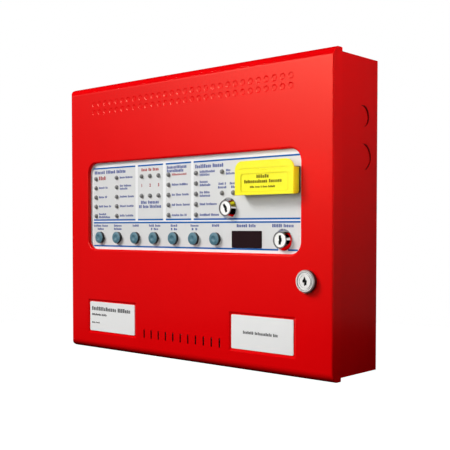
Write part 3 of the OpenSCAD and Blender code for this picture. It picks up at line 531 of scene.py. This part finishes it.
# Rows of lettering: start, end, height of the row's middle, letter height, letters in each word.
HEADINGS = [
    (-152.5, -97.2, 53.8, 3.4, (7, 6, 6)),
    (-30, 0, 54.7, 3.1, (14,)), (-30, -4.5, 50.8, 3.1, (11,)),
    (12.8, 53, 53.6, 3.6, (9, 6)),
    (-72, -42.6, 17.2, 3.2, (4, 7)), (-75, -39, 12.4, 3.2, (2, 4, 8)),
    (70.8, 96.3, -9.3, 2.9, (6, 4)), (116.7, 143.3, -9.3, 2.9, (6, 6)),
]
SMALL_LABELS = (
    column(-145, 2.2, (-129, 35.7, (5, 2)), (-130.3, 24.7, (5, 2)), (-123, 13.7, (4, 4, 2)),
           (-132, 4.5, (7,)), (-125, 1, (11,)))
    + column(-107.8, 2.2, (-85.7, 46.7, (5, 7)), (-88, 37.1, (3, 7)), (-94.2, 33.7, (7,)),
             (-83.4, 24.6, (7, 6)), (-84, 13.6, (6, 7)), (-84.5, 2.6, (5, 8)))
    + column(-22.6, 2.2, (1.7, 35.6, (6, 7)), (3.3, 24.6, (3, 5, 6)), (4.8, 13.6, (3, 5, 6)),
             (0, 2.4, (7, 3, 2)))
    + column(19.2, 2.3, (40.8, 47.8, (13,)), (33.7, 44.5, (8,)), (31, 37.1, (7,)),
             (34.8, 33.7, (9,)), (33.7, 26, (3, 5)), (34.4, 22.4, (9,)), (43.7, 13.6, (5, 9)),
             (46.7, 2.3, (9, 7)))
    + column(56.2, 2.3, (62.4, 47.8, (4,)), (70, 44.5, (8,)))
    + [(46, 56.4, 34.2, 2.3, (4, 1)), (45.2, 57.2, 30.5, 2.3, (6,)),
       (61.4, 73.5, 34.2, 2.3, (6,)), (63.2, 71.5, 30.5, 2.3, (4,)),
       (-154.8, -129, -9.1, 2.3, (7, 5)), (-147.6, -136.4, -12.9, 2.3, (5,)),
       (-118.3, -104.6, -9.1, 2.3, (7,)), (-118.3, -104.8, -12.9, 2.3, (6,)),
       (-85.9, -75.3, -9.1, 2.3, (5,)),
       (-58.9, -40.3, -9.1, 2.3, (4, 4)), (-55.6, -43.7, -12.9, 2.3, (1, 3)),
       (-24.4, -13.7, -9.1, 2.3, (4,)), (-24, -14.2, -12.9, 2.3, (1, 2)),
       (5.8, 17.6, -9.1, 2.3, (6,)), (7.4, 16.1, -12.9, 2.3, (1, 1)),
       (36.7, 47.2, -9.1, 2.3, (5,))]
)
ALERTS = [
    (-145, -132.2, 47, 4.0, (4,)), (-71, -42.7, 53.8, 3.1, (4, 2, 4)),
    (-22.6, 0, 46.6, 2.2, (13,)),
]

dice = random.Random(41)
# Proportions of the blocks: the spaces between words, stems and letters as shares of a letter's
# pitch, the tops of low letters as shares of the row's height, and a low second stem's top as a
# share of the first's.
WORD_SPACE, STEM_SPACE, LETTER_SPACES = 0.75, 0.14, (0.16, 0.26)
TALL_CHANCE, LOW_TOPS = 0.25, (0.26, 0.32)
LOW_STEM_CHANCE, LOW_STEM = 0.5, 0.7


def letter_blocks(x0, x1, z, height, words, weight=0.5):
    """A row of meaningless upright blocks, in words, that stands for a line of small lettering.
    weight is the share of each block that its first stem takes."""
    pitch = (x1 - x0) / (sum(words) + WORD_SPACE * (len(words) - 1))
    stem, foot = pitch * weight, z - height / 2
    shapes, x = [], x0
    for word in words:
        for i in range(word):
            tall = i == 0 or dice.random() < TALL_CHANCE
            top = height / 2 if tall else height * dice.choice(LOW_TOPS)
            end = x + pitch - pitch * dice.uniform(*LETTER_SPACES)
            second = top * LOW_STEM if dice.random() <= LOW_STEM_CHANCE else top
            shapes.append((rect(x, x + stem, foot, z + top), []))
            shapes.append((rect(x + stem + pitch * STEM_SPACE, end, foot, z + second), []))
            x += pitch
        x += WORD_SPACE * pitch
    return shapes


def lettering(rows, rise=1.0):
    """The blocks of several rows, with their heights raised by a factor."""
    return [shape for x0, x1, z, height, *rest in rows
            for shape in letter_blocks(x0, x1, z, height * rise, *rest)]


def inside(hole, x0, x1, z0, z1):
    """Whether a hole lies wholly within a rectangle."""
    xs, zs = [p[0] for p in hole], [p[1] for p in hole]
    return min(xs) > x0 and max(xs) < x1 and min(zs) > z0 and max(zs) < z1


def field(x0, x1, z0, z1):
    """A printed rectangle with the openings that lie in it."""
    return rect(x0, x1, z0, z1), [hole for hole in openings if inside(hole, x0, x1, z0, z1)]


def print_on_overlay(name, shapes, front, look_name):
    """One thin printed piece on the overlay film."""
    plates(name, shapes, OVERLAY_Y, front, INK_AND_SHADE[look_name], "root")


def print_digit(number, x):
    """The red digit of one zone, between its two lamps."""
    curve = bpy.data.curves.new(f"zone_number_{number}", "FONT")
    curve.body = str(number)
    curve.size = DIGIT_SIZE * MM
    curve.align_x, curve.align_y = "CENTER", "CENTER"
    curve.extrude = FIELD_THICK * MM
    curve.offset = DIGIT_BOLD * MM
    text = bpy.data.objects.new(f"zone_number_{number}", curve)
    text.location = (x * MM, FIELD_Y * MM, ZONE_DIGIT_Z * MM)
    text.rotation_euler = (math.pi / 2, 0, 0)
    scene.collection.objects.link(text)
    curve.materials.append(INK_AND_SHADE["ink_red"])
    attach(text, "root")


def print_facia():
    """The overlay's grey fields, blue rules, rows of lettering and zone digits."""
    fields = [field(x0, x1, RULE_MID, RULE_TOP) for x0, x1 in COLUMNS]
    fields.append(field(*BAND, RULE_FOOT, RULE_LOW))
    print_on_overlay("print_panels", fields, FIELD_Y, "panel_grey")
    rules = [(x0, x1, z) for z in (RULE_TOP, RULE_MID) for x0, x1 in COLUMNS]
    rules.append((*BAND, RULE_LOW))
    rules += [(x0, x1, RULE_FOOT) for x0, x1 in FOOT_RULES]
    lines = [(rect(x0, x1, z - RULE_HALF, z + RULE_HALF), []) for x0, x1, z in rules]
    print_on_overlay("print_lines", lines, TEXT_Y, "ink_line")
    print_on_overlay("print_headings", lettering(HEADINGS, LETTER_RISE), TEXT_Y, "ink_navy")
    print_on_overlay("print_labels", lettering(SMALL_LABELS, LETTER_RISE), TEXT_Y, "ink_navy")
    print_on_overlay("print_alerts", lettering(ALERTS, LETTER_RISE), TEXT_Y, "ink_red")
    for number, x in enumerate(ZONE_XS, 1):
        print_digit(number, x)


# ---- Labels on the door and the yellow cover -------------------------------------------

PLATE_ROWS = {
    "left": [(-154.4, -86.6, -107.9, 4.6, (14, 7)), (-154.5, -128, -115, 2.5, (9, 5)),
             (-154.6, -140.5, -124.6, 1.9, (4, 4))],
    "right": [(82.2, 126.8, -117, 3.0, (7, 11, 3))],
}
COVER_ROWS = [
    (106, 121.7, 39, 3.4, (6,), 0.45), (90.3, 137.5, 34.2, 3.4, (13, 7), 0.45),
    (97.8, 129.2, 28.8, 2.0, (4, 4, 1, 4, 6), 0.4),
]
# The painted shade along the edge of the cover's label recess, and the outlines of its grooves.
COVER_LABEL_SHADE = (rect(86.2, 145.2, 23.8, 41.9, 2.6), [rect(86.9, 144.0, 24.7, 41.3, 2.0)])
COVER_GROOVES = (rect(84.2, 107.6, 46.7, 47.3), rect(122.4, 144.8, 46.7, 47.3),
                 rect(110.5, 119.5, 44.9, 45.6))
# How deep the cover's label recess and its grooves are, and how thick the painted shade pieces in
# them are.
COVER_LABEL_DEPTH, COVER_GROOVE_DEPTH = 0.5, 0.4
LABEL_SHADE_THICK, GROOVE_SHADE_THICK = 0.06, 0.2


def print_plates():
    """The rows of lettering on the door's two label plates."""
    front = front_of("label_plate_left")
    for side, rows in PLATE_ROWS.items():
        plates(f"print_label_{side}", lettering(rows), front, front - TEXT_THICK,
               INK_AND_SHADE["ink_black"], "door")


def print_cover():
    """The yellow cover's lettering, and a deeper yellow painted as shade along the edge of its
    label recess and in its grooves.
    """
    label = front_of("release_cover") + COVER_LABEL_DEPTH
    groove = front_of("release_cover") + COVER_GROOVE_DEPTH
    for name, shapes, back, front, look_name in (
            ("print_cover", lettering(COVER_ROWS), label, label - TEXT_THICK, "ink_brown"),
            ("cover_label_edge_shade", [COVER_LABEL_SHADE], label, label - LABEL_SHADE_THICK, "cover_shade"),
            ("cover_groove_shade", [(outline, []) for outline in COVER_GROOVES], groove,
             groove - GROOVE_SHADE_THICK, "cover_shade")):
        plates(name, shapes, back, front, INK_AND_SHADE[look_name], "release_flap")


# ---- Painted shadow in keyways, rings, gaps and cut edges ------------------------------

LOCK = middle("lock_barrel")
# Keyway outlines round the plug's middle: a stepped bar, and a bent slot with wards.
BAR = ((-1.7, -4.4), (0.8, -4.4), (1.3, -2.2), (2.1, -0.8), (1.9, 1.6), (1.2, 2.6), (1.0, 4.6),
       (-1.4, 4.6), (-1.7, 1.5), (-1.2, 0.3), (-1.8, -1.4))
WARDED = ((-1.3, 2.2), (-2.6, 0.6), (-2.0, -1.2), (0.1, -0.6), (-0.4, -2.2), (-0.5, -4.7),
          (0.4, -3.6), (2.2, -3.3), (2.6, 0.8), (1.3, 1.6), (0.7, 3.4), (-0.4, 4.9))
# Each keyway: the body that it turns with, its node, its middle, its outline and its tilt.
KEYWAYS = (("mode_key", "mode_key_rotor", MODE_KEY, BAR, -26),
           ("access_key", "access_key_rotor", ACCESS_KEY, BAR, 0),
           ("lock", "lock_barrel", LOCK, WARDED, 0))
# Outer and inner radii of the thin dark rings on the key switches' faces and the lock's head.
KEY_RINGS = ((8.28, 8.02), (7.2, 7.03))
LOCK_RING = (9.0, 8.5)

# Knock-outs of the right side, as y, z and the outer radius of the painted shadow round them.
UPPER_KNOCKOUT, LOWER_KNOCKOUT = (-27, 96.5, 10.15), (-26, 57.3, 12.65)
# Their painted shadows run from just below the side's skin to this deep, and end in tips of this
# width.
SHADOW_START, SHADOW_DEPTH, SHADOW_TIP = 0.1, 0.8, 0.05

VENT_XS = [-63.2 + 11.38 * i for i in range(11)]
VENT_FOOT, VENT_HEAD = -135.4, -126.8
# The sides of the painted shade on the cut edge, measured from the slot's middle, and its depths
# below the door's skin.
VENT_EDGE_X, VENT_EDGE_Y = (-0.99, -0.87), (0.08, 1.15)


def annulus(centre, outer, inner):
    """The outline and hole of a flat ring."""
    return circle(*centre, outer, 48), [circle(*centre, inner, 48)]


def keyways():
    """Black plates painted as the shade inside the keyways of the door lock and the two key
    switches;
    each turns with its plug.
    """
    for body, node, place, shape, tilt in KEYWAYS:
        face = front_of(node)
        turn = math.radians(tilt)
        outline = [(place[0] + x * math.cos(turn) + z * math.sin(turn),
                    place[1] - x * math.sin(turn) + z * math.cos(turn)) for x, z in shape]
        plates(f"{body}_keyway", [(outline, [])], face, face - SHADOW_THICK, INK_AND_SHADE["bore_dark"],
               body)


def face_rings():
    """Thin dark rings that stand for the shadow gaps round the key plugs and the lock's plug."""
    rim = front_of("key_housings")
    edges = [annulus(place, *radii) for place in (MODE_KEY, ACCESS_KEY) for radii in KEY_RINGS]
    plates("key_edges", edges, rim, rim - TEXT_THICK, INK_AND_SHADE["bore_dark"], "root")
    head = front_of("lock_housing")
    plates("lock_ring", [annulus(LOCK, *LOCK_RING)], head, head - SHADOW_THICK,
           INK_AND_SHADE["ring_grey"], "door")


def crescent(y, z, r, width, centre, reach, steps=24):
    """A sliver along a circle of radius r, widest at the centre angle and reaching as many
    degrees to each side of it."""
    outer, inner = [], []
    for k in range(steps + 1):
        share = 2 * k / steps - 1
        turn = math.radians(centre + reach * share)
        thick = SHADOW_TIP + width * math.cos(share * math.pi / 2) ** 2
        outer.append((y + r * math.cos(turn), z + r * math.sin(turn)))
        inner.append((y + (r - thick) * math.cos(turn), z + (r - thick) * math.sin(turn)))
    return outer + inner[::-1]


def knockout_gaps():
    """A dark crescent painted as the shadow in the sheared side of each knock-out of the right
    side, where it is bent in. It is laid out as a front plate, with the side's y as its x, and then
    turned to face right."""
    slivers = [crescent(*UPPER_KNOCKOUT, 1.1, 20, 106), crescent(*LOWER_KNOCKOUT, 1.1, 46, 62),
               crescent(*LOWER_KNOCKOUT, 0.8, -48, 30)]
    shadow_piece = plates("knockout_gaps", [(sliver, []) for sliver in slivers], SHADOW_DEPTH, 0,
                  INK_AND_SHADE["gap_dark"], "root")
    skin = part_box("back_box")[1].x - SHADOW_START * MM
    for vertex in shadow_piece.data.vertices:
        along, depth, up = vertex.co
        vertex.co = (skin - depth, along, up)
    shadow_piece.data.flip_normals()


def vent_edges():
    """A dark liner painted as the shade on the cut edge inside each vent slot of the door."""
    skin = front_of("door_panel")
    left, right = VENT_EDGE_X
    front, back = VENT_EDGE_Y
    cuts = [(rect(x + left, x + right, VENT_FOOT, VENT_HEAD), []) for x in VENT_XS]
    plates("vent_edges", cuts, skin + back, skin + front, INK_AND_SHADE["bore_dark"], "door")


print_facia()
print_plates()
print_cover()
keyways()
face_rings()
knockout_gaps()
vent_edges()
